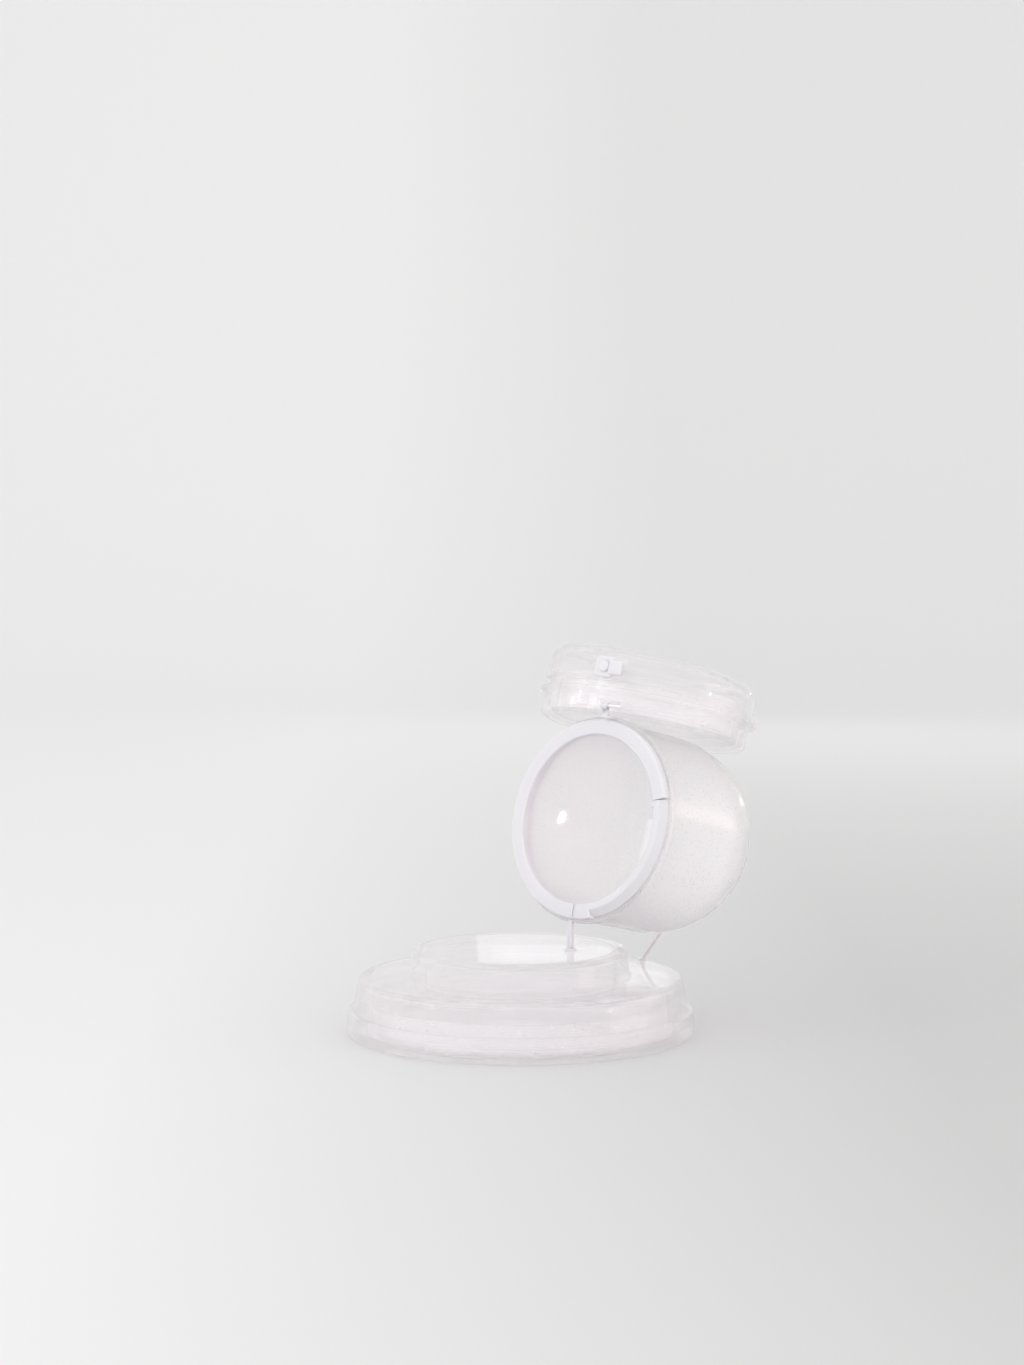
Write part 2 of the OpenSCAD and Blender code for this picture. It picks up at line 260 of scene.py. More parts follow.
def let_light_through(tree, shader, tint, straight):
    """A share of the light goes straight on. Lamp light always does, with a tint, for a pale shadow."""
    faint = (0.998, 0.995, 0.9975)
    out = tree.nodes["Material Output"]
    path = add(tree, "ShaderNodeLightPath")
    share = to_range(tree, path.outputs["Is Shadow Ray"], straight, 1, 0, 1)
    clear = add(tree, "ShaderNodeBsdfTransparent")
    passed = mix_colours(tree, path.outputs["Is Shadow Ray"], faint, tint)
    tree.links.new(passed, clear.inputs["Color"])
    mix = add(tree, "ShaderNodeMixShader")
    tree.links.new(share, mix.inputs["Fac"])
    tree.links.new(shader.outputs["BSDF"], mix.inputs[1])
    tree.links.new(clear.outputs["BSDF"], mix.inputs[2])
    tree.links.new(mix.outputs["Shader"], out.inputs["Surface"])


def clear_plastic(name, tint, deep_tint, clear, ior, rough, shadow, straight):
    """Moulded clear plastic: faint milky clouds, slow flow waves and hairline wear under a gloss skin."""
    material, tree, shader = new_material(name)
    cloud = to_range(tree, noise(tree, 34, 4), 0, 1)
    tree.links.new(mix_colours(tree, cloud, tint, deep_tint), shader.inputs["Base Color"])
    hairline = noise(tree, 420, 6, (1, 1, 4))
    tree.links.new(to_range(tree, hairline, rough, rough * 1.6, 0.5, 0.75), shader.inputs["Roughness"])
    shader.inputs["IOR"].default_value = ior
    shader.inputs["Transmission Weight"].default_value = clear
    gloss_coat(shader, 0.8, 0.04)
    bump(tree, shader, noise(tree, 60, 2, (1, 1, 1.6)), 0.05, 0.0004)
    let_light_through(tree, shader, shadow, straight)
    return material


def frosted_plastic():
    """Fine etched plastic that glows softly and blurs what lies behind it."""
    material, tree, shader = new_material("frosted_plastic")
    cloud = to_range(tree, noise(tree, 26, 5), 0, 1)
    colour = mix_colours(tree, cloud, (0.985, 0.97, 0.985), (0.985, 0.968, 0.98))
    tree.links.new(colour, shader.inputs["Base Color"])
    etched = noise(tree, 3600, 4)
    tree.links.new(to_range(tree, etched, 0.26, 0.38), shader.inputs["Roughness"])
    shader.inputs["IOR"].default_value = 1.12
    shader.inputs["Transmission Weight"].default_value = 0.5
    glow_inside(shader, 0.006)
    gloss_coat(shader, 0.65, 0.045)
    bump(tree, shader, etched, 0.03, 0.00002)
    let_light_through(tree, shader, (0.96, 0.95, 0.96), 0.15)
    return material


def white_plastic(name, colour, shade, rough):
    """Satin white plastic with a fine grain and slightly greyer patches."""
    material, tree, shader = new_material(name)
    patch = to_range(tree, noise(tree, 70, 4), 0, 1)
    tree.links.new(mix_colours(tree, patch, colour, shade), shader.inputs["Base Color"])
    grain = noise(tree, 2600, 4)
    tree.links.new(to_range(tree, grain, rough, rough + 0.14), shader.inputs["Roughness"])
    shader.inputs["IOR"].default_value = 1.5
    glow_inside(shader, 0.0006)
    bump(tree, shader, grain, 0.08, 0.00002)
    return material


def drawn_steel():
    """Bright drawn wire with fine lines along it."""
    material, tree, shader = new_material("pin_steel")
    line = noise(tree, 1500, 3, (1, 1, 6))
    colour = mix_colours(tree, to_range(tree, line, 0, 1), (0.86, 0.86, 0.88), (0.93, 0.93, 0.94))
    tree.links.new(colour, shader.inputs["Base Color"])
    tree.links.new(to_range(tree, line, 0.4, 0.55), shader.inputs["Roughness"])
    shader.inputs["Metallic"].default_value = 1.0
    bump(tree, shader, line, 0.1, 0.00002)
    return material


def lacquered_wire():
    """Pale pinkish-grey lacquer over wire, worn a little lighter in places."""
    material, tree, shader = new_material("wire_lacquer")
    wear = noise(tree, 420, 5)
    colour = mix_colours(tree, to_range(tree, wear, 0, 1, 0.5, 0.75), (0.86, 0.77, 0.79), (0.9, 0.85, 0.86))
    tree.links.new(colour, shader.inputs["Base Color"])
    tree.links.new(to_range(tree, wear, 0.28, 0.5), shader.inputs["Roughness"])
    bump(tree, shader, wear, 0.15, 0.00003)
    return material


CLEAR = clear_plastic(
    "clear_plastic", tint=(0.998, 0.985, 0.996), deep_tint=(0.996, 0.98, 0.99),
    clear=0.85, ior=1.08, rough=0.05, shadow=(0.98, 0.977, 0.979), straight=0.5)
WINDOW = clear_plastic(
    "window_plastic", tint=(0.999, 0.997, 0.999), deep_tint=(0.997, 0.994, 0.997),
    clear=0.97, ior=1.15, rough=0.02, shadow=(0.985, 0.98, 0.985), straight=0.5)
RING = clear_plastic(
    "grip_ring_plastic", tint=(0.992, 0.985, 0.99), deep_tint=(0.985, 0.975, 0.98),
    clear=0.6, ior=1.08, rough=0.2, shadow=(0.96, 0.95, 0.955), straight=0.5)
FROSTED = frosted_plastic()
WHITE = white_plastic("white_plastic", colour=(0.805, 0.79, 0.82), shade=(0.79, 0.775, 0.805), rough=0.28)
STEEL = drawn_steel()
WIRE = lacquered_wire()


# ---------------------------------------------------------------- outlines, in millimetres


def arc(centre, r, start, end, steps):
    """Points along an arc, angles in degrees."""
    angles = [radians(start + (end - start) * i / steps) for i in range(steps + 1)]
    return [(centre[0] + r * cos(a), centre[1] + r * sin(a)) for a in angles]


def rounded(corners, steps=5):
    """Outline from corners (r, z) or (r, z, fillet): each fillet becomes an arc."""
    points = []
    count = len(corners)
    for i, corner in enumerate(corners):
        here = Vector(corner[:2])
        fillet = corner[2] if len(corner) > 2 else 0
        if not fillet:
            points.append(tuple(here))
            continue
        back = Vector(corners[i - 1][:2]) - here
        ahead = Vector(corners[(i + 1) % count][:2]) - here
        half = back.angle(ahead) / 2
        reach = min(fillet / tan(half), 0.49 * back.length, 0.49 * ahead.length)
        radius = reach * tan(half)
        middle = here + (back.normalized() + ahead.normalized()).normalized() * (radius / sin(half))
        start = here + back.normalized() * reach - middle
        end = here + ahead.normalized() * reach - middle
        swing = start.angle_signed(end)
        first = atan2(start.y, start.x)
        for k in range(steps + 1):
            a = first - swing * k / steps
            points.append((middle.x + radius * cos(a), middle.y + radius * sin(a)))
    return points


# ---------------------------------------------------------------- solids, in millimetres

# Sides of a finely turned round
FINE = 224
# A cutting bar reaches this far either way to go right through, and its ends are this sharp.
THROUGH = 10.0
SHARP = 0.01


def lathe(outline, place=UPRIGHT, segments=FINE):
    """A closed outline (r, z) turned about Z. Points on the axis become poles."""
    bm = bmesh.new()
    rings = []
    for r, z in outline:
        if r < 1e-6:
            rings.append([bm.verts.new((0, 0, z))])
        else:
            angles = [2 * pi * k / segments for k in range(segments)]
            rings.append([bm.verts.new((r * cos(a), r * sin(a), z)) for a in angles])
    for first, second in zip(rings, rings[1:] + rings[:1]):
        if len(first) == 1 and len(second) == 1:
            continue
        for k in range(segments):
            n = (k + 1) % segments
            here = [first[k % len(first)], first[n % len(first)]]
            there = [second[n % len(second)], second[k % len(second)]]
            bm.faces.new(list(dict.fromkeys(here + there)))
    bm.transform(place)
    return bm


def bar(r, start, end, place, edge=0.12, segments=48):
    """A round bar along Z from start to end with eased ends."""
    outline = rounded([(0, start), (r, start, edge), (r, end, edge), (0, end)], 3)
    return lathe(outline, place, segments)


def cutting_bar(r, start, end):
    """A finely rounded bar with sharp ends, to cut a piece to a large curve."""
    return bar(r, start, end, UPRIGHT, SHARP, FINE)


def block(size, place, edge, steps=3):
    """A box of the given size, centred on place, with its edges rounded."""
    bm = bmesh.new()
    bmesh.ops.create_cube(bm, size=1, matrix=place @ Matrix.Diagonal((*size, 1)))
    bmesh.ops.bevel(bm, geom=list(bm.edges), offset=edge, segments=steps, affect="EDGES", profile=0.5)
    return bm


def plate(side, thick, corner_r, edge, place):
    """A square plate with round corners and eased rims, from Z = 0 up."""
    bm = bmesh.new()
    loops = []
    flat = side / 2 - corner_r
    ease = edge * 0.3
    rims = [(edge, 0), (ease, ease), (0, edge), (0, thick - edge), (ease, thick - ease), (edge, thick)]
    for inset, z in rims:
        outline = []
        for quarter, (x, y) in enumerate([(flat, flat), (-flat, flat), (-flat, -flat), (flat, -flat)]):
            outline += arc((x, y), corner_r - inset, 90 * quarter, 90 * quarter + 90, 6)
        loops.append([bm.verts.new((x, y, z)) for x, y in outline])
    for low, high in zip(loops, loops[1:]):
        for k in range(len(low)):
            n = (k + 1) % len(low)
            bm.faces.new((low[k], low[n], high[n], high[k]))
    bm.faces.new(loops[0])
    bm.faces.new(loops[-1])
    bm.transform(place)
    return bm


def swept(outline, start, end, steps):
    """A closed outline (r, z) swept about Z from start to end degrees, with flat ends."""
    bm = bmesh.new()
    rings = []
    for k in range(steps + 1):
        a = radians(start + (end - start) * k / steps)
        rings.append([bm.verts.new((r * cos(a), r * sin(a), z)) for r, z in outline])
    count = len(outline)
    for first, second in zip(rings, rings[1:]):
        for i in range(count):
            bm.faces.new((first[i], first[(i + 1) % count], second[(i + 1) % count], second[i]))
    bm.faces.new(rings[0])
    bm.faces.new(rings[-1])
    return bm


# ---------------------------------------------------------------- from solids to pieces, in metres


def solid(name, bm, place):
    """An object from a bmesh in millimetres, in the part's own metres."""
    bmesh.ops.recalc_face_normals(bm, faces=bm.faces)
    mesh = bpy.data.meshes.new(name)
    bm.to_mesh(mesh)
    bm.free()
    mesh.transform(Matrix.Scale(MM, 4) @ place)
    piece = bpy.data.objects.new(name, mesh)
    bpy.context.scene.collection.objects.link(piece)
    return piece


def combine(piece, bm, place, how):
    """Join a solid to the piece (UNION) or cut it away (DIFFERENCE)."""
    tool = solid("tool", bm, place)
    modifier = piece.modifiers.new("combine", "BOOLEAN")
    modifier.operation = how
    modifier.solver = "EXACT"
    modifier.object = tool
    bpy.context.view_layer.update()
    graph = bpy.context.evaluated_depsgraph_get()
    mesh = bpy.data.meshes.new_from_object(piece.evaluated_get(graph))
    piece.modifiers.clear()
    piece.data = mesh
    bpy.data.objects.remove(tool)


def finish(piece, material, sharp=32):
    """Smooth but for its sharp edges, in the given material."""
    mesh = piece.data
    mesh.shade_smooth()
    mesh.set_sharp_from_angle(angle=radians(sharp))
    mesh.materials.clear()
    mesh.materials.append(material)
    return piece


def keep(piece, body, slot, *nodes):
    """Hang the piece on its body and let it stand for the CAD nodes, which it hides. slot is not used."""
    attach(piece, body)
    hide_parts(*nodes)


# ---------------------------------------------------------------- base capsule


def base_lower_shell():
    """Wide shallow shell that stands on a flat rim round a faint recess."""
    recess_r = 36.0
    recess_h = 0.35
    recess_slope = 0.6
    foot_draft = 0.2
    foot_h = 1.2
    outline = rounded([
        (0, recess_h), (recess_r - recess_slope, recess_h, 0.2), (recess_r, 0, 0.2),
        (BASE_R - foot_draft, 0, 0.9), (BASE_R, foot_h, 0.2), (BASE_R, SPLIT_H, 0.5),
        (RIM_BORE_R, SPLIT_H, 0.25), (RIM_BORE_R, FLOOR_T, 0.6), (0, FLOOR_T)])
    return finish(solid("base_lower_shell_moulded", lathe(outline), UPRIGHT), CLEAR)


def base_cover():
    """Two-tier cover with a plug lip below and a slightly sunken field on its crown."""
    foot_h = SPLIT_H + 0.4
    shoulder_h = TIER_H - 1.9
    tier_edge_r = SHOULDER_R - 0.5
    crown_foot_r = CROWN_R + 0.6
    rim_r = CROWN_R - 3.4
    field_r = CROWN_R - 3.7
    field_h = CROWN_H - 0.15
    inner_crown_r = CROWN_R - BASE_WALL
    inner_crown_h = CROWN_H - BASE_WALL
    inner_tier_h = TIER_H - BASE_WALL
    lip_bore_r = LIP_R - LIP_T
    lead_w = 0.3
    lead_h = 0.5
    outline = rounded([
        (LIP_R, SPLIT_H, 0.1), (WALL_R, SPLIT_H, 0.15), (WALL_R, foot_h, 0.2),
        (SHOULDER_R, shoulder_h, 2), (tier_edge_r, TIER_H, 1.8), (crown_foot_r, TIER_H, 0.9),
        (CROWN_R, CROWN_H, 1.4), (rim_r, CROWN_H, 0.3), (field_r, field_h, 0.2),
        (0, field_h), (0, inner_crown_h),
        (inner_crown_r, inner_crown_h, 0.8), (inner_crown_r, inner_tier_h, 0.5),
        (SHOULDER_R - BASE_WALL, inner_tier_h, 1.2), (lip_bore_r, SPLIT_H, 0.4),
        (lip_bore_r, LIP_Z, 0.2), (LIP_R - lead_w, LIP_Z, 0.15), (LIP_R, LIP_Z + lead_h, 0.1)], 6)
    return finish(solid("base_cover_moulded", lathe(outline), UPRIGHT), CLEAR)


def base_grip_ring():
    """Ring that holds the coin's edge: a ledge under the coin and a groove round the outside."""
    top = FLOOR_T + GRIP_H
    ledge_r = COIN_R - 2
    ledge_h = FLOOR_T + 1.2
    groove_h = FLOOR_T + 3
    groove = 0.4
    lead_w = 0.4
    lead_h = 0.6
    outline = rounded([
        (ledge_r, FLOOR_T, 0.1), (GRIP_R, FLOOR_T, 0.2), (GRIP_R, groove_h - groove, 0.2),
        (GRIP_R - groove, groove_h, 0.2), (GRIP_R, groove_h + groove, 0.2), (GRIP_R, top, 0.3),
        (COIN_R + lead_w, top, 0.2), (COIN_R, top - lead_h, 0.2), (COIN_R, ledge_h, 0.2),
        (ledge_r, ledge_h, 0.2)], 3)
    return finish(solid("base_grip_ring_moulded", lathe(outline), UPRIGHT), RING)


def front_post():
    """Strip from the foot up to the cup's flange, cut to the flange's curve and clear of the bezel."""
    foot_z = CROWN_H + POST_FOOT_T
    length = POST_TOP - foot_z
    edge = 0.22
    bezel_room = 0.3
    beyond = 6
    strip = block((POST_W, POST_W, length), at(0, 0, foot_z + length / 2), edge)
    piece = solid("front_post_strip", strip, POST)
    combine(piece, cutting_bar(FLANGE_R, -THROUGH, MOUTH_Z), CUP, "DIFFERENCE")
    combine(piece, cutting_bar(BEZEL_R + bezel_room, MOUTH_Z - SHARP, beyond), CUP, "DIFFERENCE")
    return finish(piece, WHITE)


def post_foot():
    """Small flare under the post, with a hollowed side."""
    foot_r = 1.7
    hollow_r = 0.62
    hollow = arc((foot_r + 0.1, POST_FOOT_T + 0.25), hollow_r, 250, 196, 5)
    outline = [(0, 0), (foot_r, 0), *hollow, (0, POST_FOOT_T)]
    return finish(solid("post_foot_flare", lathe(outline, at(0, 0, CROWN_H), 64), POST), WHITE)


keep(base_lower_shell(), "base", "clear_shell", "base_lower_shell")
keep(base_cover(), "cover", "clear_shell", "base_cover")
keep(base_grip_ring(), "base", "grip_ring", "base_grip_ring")
keep(front_post(), "cover", "white_plastic", "front_post")
keep(post_foot(), "cover", "white_plastic", "post_foot")


# ---------------------------------------------------------------- cup, window and bezel


def cup_shell():
    """Straight tube with a flange round the mouth and a half-round end."""
    dome = (0, -CUP_DEPTH)
    dome_steps = 36
    flange_back = MOUTH_Z - FLANGE_T
    tube = rounded([
        (CUP_BORE_R, -CUP_DEPTH), (CUP_BORE_R, MOUTH_Z, 0.3), (FLANGE_R, MOUTH_Z, 0.35),
        (FLANGE_R, flange_back, 0.3), (CUP_R, flange_back, 0.3), (CUP_R, -CUP_DEPTH)], 4)
    outline = [
        *tube, *arc(dome, CUP_R, 0, -90, dome_steps)[1:-1],
        (0, -CUP_DEPTH - CUP_R), (0, -CUP_DEPTH - CUP_BORE_R),
        *arc(dome, CUP_BORE_R, -90, 0, dome_steps)[1:-1]]
    return finish(solid("cup_shell_frosted", lathe(outline), CUP), FROSTED)


def cup_window():
    """Clear disc of even thickness that bulges forward inside a flat rim."""
    span = BEZEL_BORE_R - FREE_GAP
    dome_r = (span ** 2 + WINDOW_BULGE ** 2) / (2 * WINDOW_BULGE)
    half = degrees(asin(span / dome_r))
    dome_z = MOUTH_Z + WINDOW_BULGE - dome_r
    front = arc((0, dome_z), dome_r, 90, 90 - half, 20)
    back = arc((0, dome_z), dome_r - WINDOW_T, 90 - half, 90, 20)
    outline = [
        (0, dome_z + dome_r), *front[1:], (WINDOW_R, MOUTH_Z), (WINDOW_R, MOUTH_Z - WINDOW_T),
        *back[:-1], (0, dome_z + dome_r - WINDOW_T)]
    return finish(solid("cup_window_lens", lathe(outline), CUP), WINDOW)


def bezel_ring():
    """Full-width ring from the foot of the mouth round the left to three o'clock.

    The quarter from there down to the foot is narrower, and its outer side slopes down to the flange.
    A thin slot and a small lug mark the step at three o'clock.
    """
    collar_bore_r = COLLAR_R - COLLAR_T
    collar_back = MOUTH_Z - COLLAR_L
    front = -MOUTH_Z
    slope_w = 1.7
    overlap = 0.1
    inner_edge = (BEZEL_BORE_R, front, 0.5)
    collar = [
        (BEZEL_BORE_R, MOUTH_Z, 0.1), (collar_bore_r, MOUTH_Z), (collar_bore_r, collar_back, 0.2),
        (COLLAR_R, collar_back, 0.2), (COLLAR_R, MOUTH_Z)]
    full = rounded([*collar, (BEZEL_R, MOUTH_Z, 0.15), (BEZEL_R, front, 0.6), inner_edge], 4)
    slope = [(QUADRANT_LIP_R + slope_w, MOUTH_Z), (QUADRANT_LIP_R, front, 0.6)]
    narrow = rounded([*collar, *slope, inner_edge], 4)
    piece = solid("bezel_ring_split", swept(full, STEP_TO, 360 + STEP_FROM, 200), CUP)
    combine(piece, swept(narrow, STEP_FROM - overlap, STEP_TO + overlap, 60), CUP, "UNION")
    slot_size = (6, 0.25, BEZEL_T)
    slot_floor = 0.4
    slot = turn("Z", STEP_TO - 1) @ at(BEZEL_BORE_R + 2, slot_size[1], MOUTH_Z + slot_floor + BEZEL_T / 2)
    combine(piece, block(slot_size, slot, 0.02, 1), CUP, "DIFFERENCE")
    lug_size = (1.5, 1, 1)
    lug = turn("Z", STEP_TO - 3) @ at(BEZEL_BORE_R - 0.35, 0, MOUTH_Z + 0.9)
    combine(piece, block(lug_size, lug, 0.2), CUP, "UNION")
    return finish(piece, WHITE)


def pull_tab():
    """Strip across the bezel's face at its lowest point, in line with the post."""
    inset = 0.2
    tab_t = 0.5
    length = BEZEL_R - BEZEL_BORE_R - inset
    middle = at(0, -BEZEL_R + inset + length / 2, -MOUTH_Z + tab_t / 2)
    return finish(solid("pull_tab_strip", block((POST_W, length, tab_t), middle, 0.15), CUP), WHITE)


keep(cup_shell(), "cover", "frosted_shell", "cup_shell")
keep(cup_window(), "window", "clear_window", "cup_window")
keep(bezel_ring(), "window", "white_plastic", "bezel_ring")
keep(pull_tab(), "window", "white_plastic", "pull_tab")


# ---------------------------------------------------------------- tip hinge


def hinge_strap():
    """L-shaped strap: a leg on the flange's front, an arm over it and an eye round the pin."""
    edge = 0.12
    reach = TIP_Z + STRAP_T / 2 - MOUTH_Z
    leg = at(STRAP_X, STRAP_LEG_Y + STRAP_LEG_T / 2, MOUTH_Z + reach / 2)
    piece = solid("hinge_strap_moulded", block((STRAP_W, STRAP_LEG_T, reach), leg, edge), CUP)
    arm = at(STRAP_X, (STRAP_LEG_Y + TIP_Y) / 2, TIP_Z)
    combine(piece, block((STRAP_W, TIP_Y - STRAP_LEG_Y, STRAP_T), arm, edge), CUP, "UNION")
    start, end = STRAP_X - STRAP_W / 2, STRAP_X + STRAP_W / 2
    # The eye is a hair wider than the arm, so that no two faces lie in one plane.
    hair = 0.005
    combine(piece, bar(TIP_EYE_R, start - hair, end + hair, TIP_AXIS), CUP, "UNION")
    combine(piece, bar(TIP_PIN_R, -THROUGH, THROUGH, TIP_AXIS), CUP, "DIFFERENCE")
    return finish(piece, WHITE)


def tip_hinge_pin():
    """Short turned pin with a head at its left end."""
    head_r = 0.9
    head_t = 0.5
    start, end = TIP_PIN_X
    outline = rounded([
        (0, start), (head_r, start, 0.2), (head_r, start + head_t, 0.12),
        (TIP_PIN_R, start + head_t), (TIP_PIN_R, end, 0.15), (0, end)], 4)
    return finish(solid("tip_hinge_pin_turned", lathe(outline, TIP_AXIS, 40), CUP), STEEL)


def tip_hinge_lug():
    """Eye round the pin with an arm back to the small capsule, cut to the capsule's wall."""
    start, end = LUG_X
    side_inset = 0.1
    piece = solid("tip_hinge_lug_moulded", bar(TIP_EYE_R, start, end, TIP_AXIS), CUP)
    arm = at((start + end) / 2, TIP_Y, TIP_Z - LUG_ARM_L / 2)
    combine(piece, block((end - start - side_inset, LUG_ARM_H, LUG_ARM_L), arm, 0.15), CUP, "UNION")
    combine(piece, bar(TIP_PIN_R + RUNNING_GAP, -THROUGH, THROUGH, TIP_AXIS), CUP, "DIFFERENCE")
    combine(piece, cutting_bar(SMALL_R, -1, SMALL_SPLIT_H), SMALL, "DIFFERENCE")
    return finish(piece, CLEAR)


keep(hinge_strap(), "cover", "white_plastic", "hinge_strap")
keep(tip_hinge_pin(), "cover", "pin_metal", "tip_hinge_pin")
keep(tip_hinge_lug(), "small_capsule", "clear_shell", "tip_hinge_lug")


# ---------------------------------------------------------------- small capsule


def hinge_bar(r, start, end, edge=0.12):
    """A bar along the lid hinge's own axis."""
    return bar(r, start, end, LID_AXIS, edge)


def small_lower_shell():
    """Shallow shell with a flange at the parting line, a lip above it and two hinge ears."""
    draft = 0.1
    lip_top = SMALL_SPLIT_H + SMALL_LIP_H
    lip_bore_r = SMALL_LIP_R - SMALL_WALL
    flange_foot_h = SMALL_SPLIT_H - 1.8
    flange_h = SMALL_SPLIT_H - 1.2
    outline = rounded([
        (0, 0), (SMALL_R - draft, 0, 1), (SMALL_R, flange_foot_h, 0.3),
        (SMALL_FLANGE_R, flange_h, 0.3), (SMALL_FLANGE_R, SMALL_SPLIT_H, 0.3),
        (SMALL_LIP_R, SMALL_SPLIT_H, 0.2), (SMALL_LIP_R, lip_top, 0.4), (lip_bore_r, lip_top, 0.3),
        (lip_bore_r, SMALL_FLOOR_T, 0.8), (0, SMALL_FLOOR_T)])
    piece = solid("small_lower_shell_moulded", lathe(outline), SMALL)
    near = KNUCKLE_W / 2 + FREE_GAP
    for start, end in [(near, near + EAR_W), (-near - EAR_W, -near)]:
        combine(piece, hinge_bar(LID_BARREL_R, start, end), SMALL, "UNION")
    combine(piece, hinge_bar(LID_BARREL_R + BARREL_ROOM, -near, near, 0.02), SMALL, "DIFFERENCE")
    combine(piece, hinge_bar(LID_PIN_R, -THROUGH, THROUGH), SMALL, "DIFFERENCE")
    return finish(piece, CLEAR)


def small_grip_ring():
    """Ring that holds the small coin's edge, with a ledge under the coin."""
    ledge_r = SMALL_COIN_R - 1.5
    ledge_h = SMALL_FLOOR_T + 1.4
    ring_r = SMALL_LIP_R - SMALL_WALL - 0.15
    top = SMALL_SPLIT_H + 2.2
    lead_w = 0.4
    lead_h = 0.5
    outline = rounded([
        (ledge_r, SMALL_FLOOR_T, 0.1), (ring_r, SMALL_FLOOR_T, 0.8), (ring_r, top, 0.3),
        (SMALL_COIN_R + lead_w, top, 0.2), (SMALL_COIN_R, top - lead_h, 0.2), (SMALL_COIN_R, ledge_h, 0.2),
        (ledge_r, ledge_h, 0.2)], 3)
    return finish(solid("small_grip_ring_moulded", lathe(outline), SMALL), RING)


def shoulder_nub():
    """Little ball that stands half out of the lid's shoulder."""
    nub_r = 0.7
    nub_dir = -60
    nub_at = (LID_R - 1.3, 0, LID_WALL_TOP_H + 2.5)
    nub = bmesh.new()
    bmesh.ops.create_uvsphere(nub, u_segments=32, v_segments=20, radius=nub_r)
    nub.transform(turn("Z", nub_dir) @ at(*nub_at))
    return nub


def small_lid():
    """Lid with a round shoulder and a low crown, a hinge knuckle, a nub and the button's hole."""
    shoulder_h = LID_WALL_TOP_H + LID_SHOULDER_R
    crown_foot_h = shoulder_h + 0.2
    inner_crown_r = LID_CROWN_R - SMALL_WALL
    inner_crown_h = LID_CROWN_H - SMALL_WALL
    inner_shoulder_h = shoulder_h - SMALL_WALL
    outline = rounded([
        (LID_BORE_R, LID_BASE_H, 0.2), (LID_R, LID_BASE_H, 0.25), (LID_R, shoulder_h, LID_SHOULDER_R),
        (LID_CROWN_R, crown_foot_h, 0.3), (LID_CROWN_R, LID_CROWN_H, 0.5), (0, LID_CROWN_H),
        (0, inner_crown_h), (inner_crown_r, inner_crown_h, 0.4), (inner_crown_r, inner_shoulder_h, 0.4),
        (LID_BORE_R, inner_shoulder_h, LID_SHOULDER_R - SMALL_WALL)], 7)
    piece = solid("small_lid_moulded", lathe(outline), LID)
    combine(piece, hinge_bar(LID_BARREL_R, -KNUCKLE_W / 2, KNUCKLE_W / 2), LID, "UNION")
    web_size = (1.3, KNUCKLE_W - 0.1, 1.6)
    web = at(LID_R + 0.05, 0, LID_BASE_H + web_size[2] / 2)
    combine(piece, block(web_size, web, 0.15), LID, "UNION")
    combine(piece, shoulder_nub(), LID, "UNION")
    pocket = KNUCKLE_W / 2 + 0.15
    for start, end in [(pocket, pocket + 2 * EAR_W), (-pocket - 2 * EAR_W, -pocket)]:
        combine(piece, hinge_bar(LID_BARREL_R + BARREL_ROOM, start, end, 0.02), LID, "DIFFERENCE")
    combine(piece, hinge_bar(LID_PIN_R + RUNNING_GAP, -THROUGH, THROUGH), LID, "DIFFERENCE")
    hole_start, hole_end = -3, 1
    combine(piece, bar(BUTTON_PIN_R, hole_start, hole_end, UPRIGHT), BUTTON, "DIFFERENCE")
    return finish(piece, CLEAR)


def turn_button():
    """Rounded square plate on a pin, with a grip block in front of one side."""
    plate_edge = 0.16
    grip_edge = 0.22
    square = plate(BUTTON_PLATE, BUTTON_T, BUTTON_CORNER_R, plate_edge, UPRIGHT)
    piece = solid("turn_button_moulded", square, BUTTON)
    grip_x = BUTTON_PLATE / 2 + GRIP_REACH - GRIP_BLOCK[0] / 2
    grip_z = GRIP_BACK + GRIP_BLOCK[2] / 2
    combine(piece, block(GRIP_BLOCK, at(grip_x, 0, grip_z), grip_edge), BUTTON, "UNION")
    combine(piece, bar(BUTTON_PIN_R + RUNNING_GAP, -1, 4, UPRIGHT), BUTTON, "DIFFERENCE")
    return finish(piece, WHITE)


def button_pin():
    """Headed pin that the turn button turns on."""
    tail_z = -1.2
    head_z = BUTTON_T + 0.1
    head_top = head_z + 0.5
    head_r = 1.6
    face_r = 1.25
    outline = rounded([
        (0, tail_z), (BUTTON_PIN_R, tail_z, 0.15), (BUTTON_PIN_R, head_z), (head_r, head_z, 0.08),
        (face_r, head_top, 0.25), (0, head_top)], 4)
    return finish(solid("button_pin_turned", lathe(outline, UPRIGHT, 56), BUTTON), WHITE)


keep(small_lower_shell(), "small_capsule", "clear_shell", "small_lower_shell")
keep(small_grip_ring(), "small_capsule", "grip_ring", "small_grip_ring")
keep(small_lid(), "small_lid", "clear_shell", "small_lid")
keep(turn_button(), "turn_button", "white_plastic", "turn_button")
keep(button_pin(), "small_lid", "white_plastic", "button_pin")


# ---------------------------------------------------------------- CAD nodes that keep their shape

for node, material in {"prop_rod": WIRE, "prop_socket": CLEAR, "lid_hinge_pin": CLEAR}.items():
    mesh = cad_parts[node].data
    mesh.materials.clear()
    mesh.materials.append(material)


# ---------------------------------------------------------------- floor, backdrop, lights and camera


def multiply(tree, first, second):
    """The product of two values."""
    node = add(tree, "ShaderNodeMath", operation="MULTIPLY")
    tree.links.new(first, node.inputs[0])
    tree.links.new(second, node.inputs[1])
    return node.outputs["Value"]


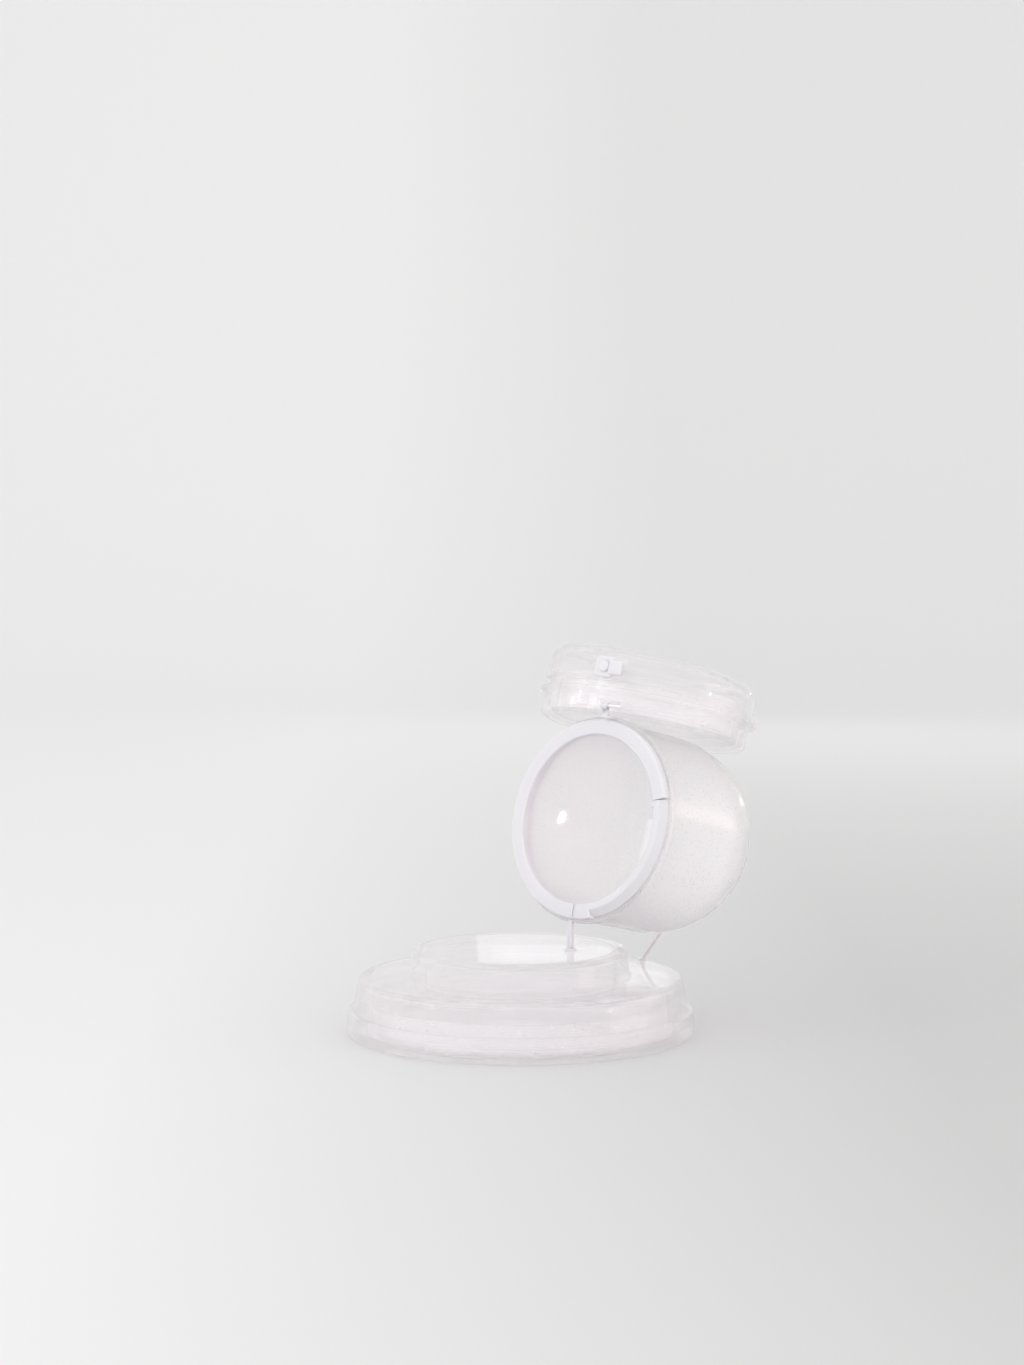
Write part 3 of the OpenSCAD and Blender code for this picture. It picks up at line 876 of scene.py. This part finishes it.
def paper():
    """Matt studio paper with painted shade: its colour darkens to the right, in place of light falling off
    away from the key and the shadow there, and it darkens less far behind the object.
    """
    material, tree, shader = new_material("paper")
    place = add(tree, "ShaderNodeTexCoord")
    split = add(tree, "ShaderNodeSeparateXYZ")
    tree.links.new(place.outputs["Object"], split.inputs["Vector"])
    # Painted shade: across and near set how far the paper's colour darkens, towards the right and less so
    # far back.
    across = to_range(tree, split.outputs["X"], 0, 1, -0.1, 0.1)
    near = to_range(tree, split.outputs["Y"], 1, 0.35, 0.1, 0.7)
    grain = to_range(tree, noise(tree, 3, 4), 0.985, 1.0)
    painted_shade = multiply(tree, multiply(tree, across, near), grain)
    # The second colour is the painted shade at its darkest. Only grain is the paper's own uneven tone.
    colour = mix_colours(tree, painted_shade, (0.895, 0.895, 0.895), (0.65, 0.65, 0.65))
    tree.links.new(colour, shader.inputs["Base Color"])
    shader.inputs["Roughness"].default_value = 0.9
    return material


def sweep_stage():
    """Pale paper sweep: level floor that curves up into a wall well behind the object."""
    front_y = -3.0
    bend_y = 1.0
    bend_r = 0.9
    wall_top = 3.0
    half_w = 4.0
    rise = [(bend_y + bend_r * sin(radians(a)), bend_r * (1 - cos(radians(a)))) for a in range(0, 91, 5)]
    line = [(front_y, 0.0), *rise, (bend_y + bend_r, wall_top)]
    bm = bmesh.new()
    rows = [[bm.verts.new((x, y, z)) for x in (-half_w, half_w)] for y, z in line]
    for low, high in zip(rows, rows[1:]):
        bm.faces.new((low[0], low[1], high[1], high[0]))
    mesh = bpy.data.meshes.new("paper_sweep")
    bm.to_mesh(mesh)
    bm.free()
    mesh.shade_smooth()
    mesh.materials.append(paper())
    sweep = bpy.data.objects.new("paper_sweep", mesh)
    # A hair under the base, so that the two flat faces never share a plane.
    sweep.location.z = -0.00005
    bpy.context.scene.collection.objects.link(sweep)


def softbox(name, azimuth, elevation, distance, size, watts, colour, aim=(0.02, 0.01, 0.05), unseen=()):
    """Area lamp. azimuth is measured from the front (-Y), positive to the right (+X).

    unseen names the kinds of ray that pass the lamp by, besides the view itself.
    """
    data = bpy.data.lights.new(name, "AREA")
    data.shape = "RECTANGLE"
    data.size, data.size_y = size
    data.energy = watts
    data.color = colour
    lamp = bpy.data.objects.new(name, data)
    a, e = radians(azimuth), radians(elevation)
    away = Vector((sin(a) * cos(e), -cos(a) * cos(e), sin(e)))
    lamp.location = Vector(aim) + away * distance
    lamp.rotation_euler = away.to_track_quat("Z", "Y").to_euler()
    for kind in ("camera", *unseen):
        setattr(lamp, "visible_" + kind, False)
    bpy.context.scene.collection.objects.link(lamp)


def studio_light():
    """Even pale surroundings, a large key on the left and small strips and cards for the highlights."""
    world = bpy.data.worlds.new("studio")
    world.use_nodes = True
    background = world.node_tree.nodes["Background"]
    background.inputs["Color"].default_value = (1, 1, 1, 1)
    background.inputs["Strength"].default_value = 0.845
    bpy.context.scene.world = world
    softbox("key", -50, 33, 1.4, (0.8, 0.7), 3.15, (0.985, 0.985, 1))
    softbox("front_window", -66, 12, 1.4, (0.2, 0.25), 0.5, (1, 1, 1))
    softbox("window_strip", -94, 12, 1.0, (0.01, 0.03), 0.16, (1, 1, 1))
    softbox("rim_strip", 145, 4, 1.0, (0.012, 0.06), 0.12, (1, 0.98, 0.98))
    softbox("side_strip", 66, 1, 1.0, (0.012, 0.03), 0.3, (1, 1, 1))
    softbox("warm_card", 88, 6, 0.9, (0.9, 0.16), 0.8, (1, 0.8, 0.7))
    softbox("low_fill", 30, 4, 0.7, (0.9, 0.08), 0.8, (1, 0.99, 0.98), unseen=("glossy", "transmission"))
    softbox("back_card", 173.5, 7, 0.9, (0.28, 0.12), 0.048, (0.98, 0.99, 1), unseen=("transmission",))
    softbox("wall_wash", 20, 40, 1.6, (1.4, 0.5), 1.8, (1, 1, 1), aim=(0.25, 1.9, 0.3))


def camera():
    """A long view from the front and a little above."""
    eye = (-0.00211, -0.8091, 0.1527)
    tilt = 85.5
    data = bpy.data.cameras.new("camera")
    data.lens = 85
    data.sensor_width = 36
    data.clip_start = 0.01
    view = bpy.data.objects.new("camera", data)
    view.location = eye
    view.rotation_euler = (radians(tilt), 0, 0)
    bpy.context.scene.collection.objects.link(view)
    bpy.context.scene.camera = view


sweep_stage()
studio_light()
camera()
bpy.context.scene.view_settings.view_transform = "Standard"
cycles = bpy.context.scene.cycles
cycles.max_bounces = 32
cycles.diffuse_bounces = 8
cycles.transmission_bounces = 32
cycles.transparent_max_bounces = 32
